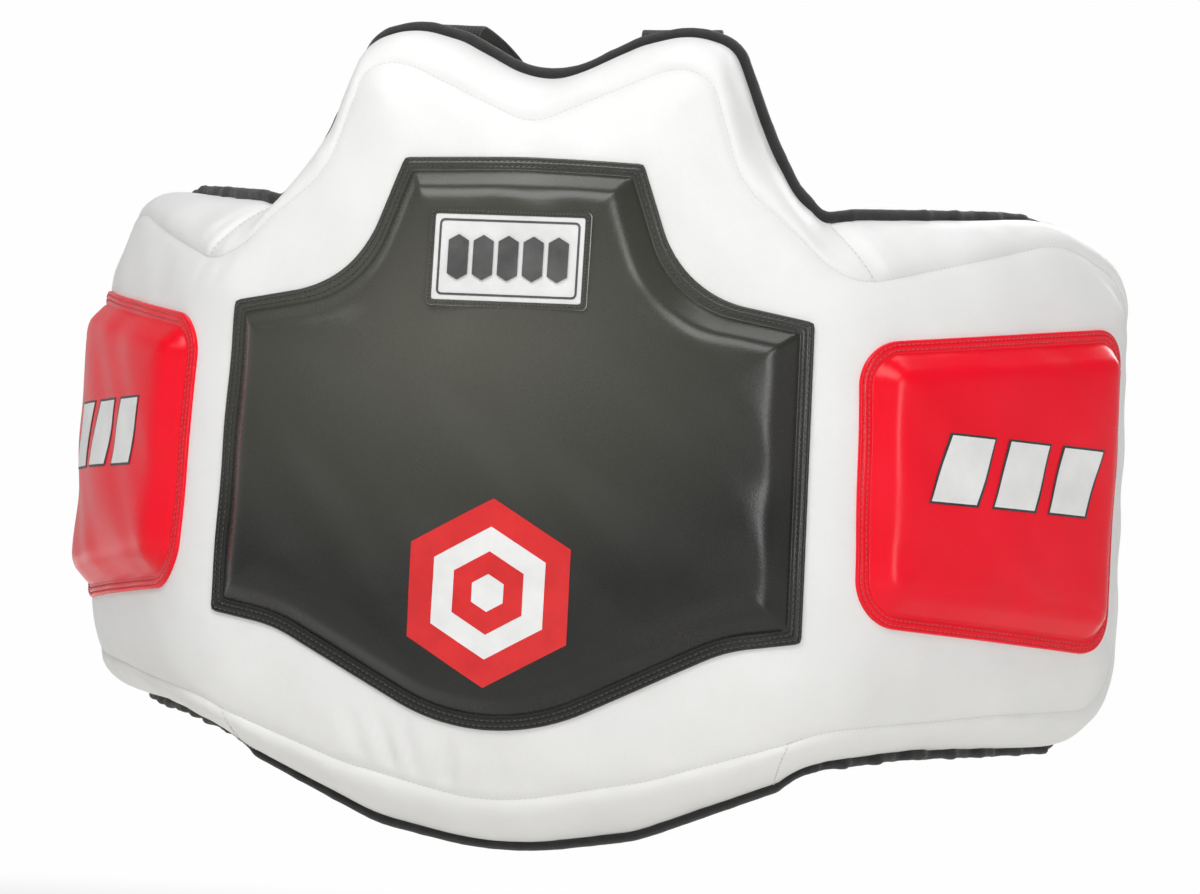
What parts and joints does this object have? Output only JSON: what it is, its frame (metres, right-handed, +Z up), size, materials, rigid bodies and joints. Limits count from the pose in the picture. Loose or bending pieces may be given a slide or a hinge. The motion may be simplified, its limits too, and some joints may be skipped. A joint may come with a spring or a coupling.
{
  "type": "boxing body protector",
  "caption": "Padded wrap-round chest protector for a boxing coach, with a raised centre target, side pads, flexing side wings and an adjustable strap harness.",
  "frame": {"origin": "centre of the inner lining, where the shell rests on the breastbone, at mid-height of the front", "axes": "+X towards the wearer's left, +Y into the wearer, +Z up; the target faces -Y"},
  "size_m": [0.6828, 0.3294, 0.5007],
  "materials": {
    "white_leather": "soft satin",
    "black_leather": "satin, fine grain",
    "red_leather": "satin",
    "foam": "closed-cell foam",
    "gel": "soft gel sheet",
    "black_lining": "knitted polyester",
    "black_binding": "woven tape",
    "badge_white": "moulded, matt",
    "badge_grey": "moulded, satin",
    "black_elastic": "ribbed elastic",
    "black_plastic": "moulded",
    "steel_ring": "plated",
    "yoke_leather": "satin",
    "hook_loop": "hook and loop tape",
    "black_webbing": "woven polyester webbing"
  },
  "bodies": {
    "chest": {"badge_plate": "badge_white", "badge_studs": "badge_grey", "belt_hook_pad": "hook_loop", "belt_loop_pad": "hook_loop", "chest_back_lining": "black_lining", "chest_front_panel": "white_leather", "chest_gel_layer": "gel", "chest_impact_foam": "foam", "chest_lower_edge_binding": "black_binding", "chest_lower_side_gusset": "white_leather", "chest_upper_edge_binding": "black_binding", "chest_upper_side_gusset": "white_leather", "left_back_elastic": "black_elastic", "left_back_strap": "black_webbing", "left_shoulder_strap": "black_webbing", "left_strap_anchor_patch": "yoke_leather", "left_waist_elastic": "black_elastic", "right_back_elastic": "black_elastic", "right_back_strap": "black_webbing", "right_shoulder_strap": "black_webbing", "right_strap_anchor_patch": "yoke_leather", "right_waist_elastic": "black_elastic", "target_pad_cover": "black_leather", "target_pad_foam": "foam", "target_pad_gel": "gel", "waist_belt": "black_webbing", "yoke_inner_plate": "yoke_leather", "yoke_outer_plate": "yoke_leather"},
    "left_wing": {"left_side_pad_cover": "red_leather", "left_side_pad_foam": "foam", "left_side_pad_gel": "gel", "left_wing_back_lining": "black_lining", "left_wing_edge_binding": "black_binding", "left_wing_front_panel": "white_leather", "left_wing_gel_layer": "gel", "left_wing_impact_foam": "foam", "left_wing_side_gusset": "white_leather"},
    "right_wing": {"right_side_pad_cover": "red_leather", "right_side_pad_foam": "foam", "right_side_pad_gel": "gel", "right_wing_back_lining": "black_lining", "right_wing_edge_binding": "black_binding", "right_wing_front_panel": "white_leather", "right_wing_gel_layer": "gel", "right_wing_impact_foam": "foam", "right_wing_side_gusset": "white_leather"},
    "left_slider": {"left_strap_slider": "black_plastic"},
    "right_slider": {"right_strap_slider": "black_plastic"},
    "ring": {"waist_ring": "steel_ring"}
  },
  "joints": [
    {"name": "left_wing_flex", "type": "hinge", "parent": "chest", "child": "left_wing", "pos_m": [0.19777, -0.03554, 0], "axis": [0, 0, 1], "range_deg": [-12, 12], "stiffness_Nm_per_rad": 6, "deforming": ["left_back_elastic", "left_waist_elastic"]},
    {"name": "right_wing_flex", "type": "hinge", "parent": "chest", "child": "right_wing", "pos_m": [-0.19777, -0.03554, 0], "axis": [0, 0, -1], "range_deg": [-12, 12], "stiffness_Nm_per_rad": 6, "deforming": ["right_back_elastic", "right_waist_elastic"]},
    {"name": "left_slider_travel", "type": "slide", "parent": "chest", "child": "left_slider", "axis": [-0.1648, 0.8079, -0.5657], "range_m": [-0.028, 0.028]},
    {"name": "right_slider_travel", "type": "slide", "parent": "chest", "child": "right_slider", "axis": [0.1648, 0.8079, -0.5657], "range_m": [-0.028, 0.028]},
    {"name": "waist_ring_swing", "type": "hinge", "parent": "chest", "child": "ring", "pos_m": [0.118, 0.24516, -0.095], "axis": [0, 0, 1], "range_deg": [-8, 8]}
  ]
}
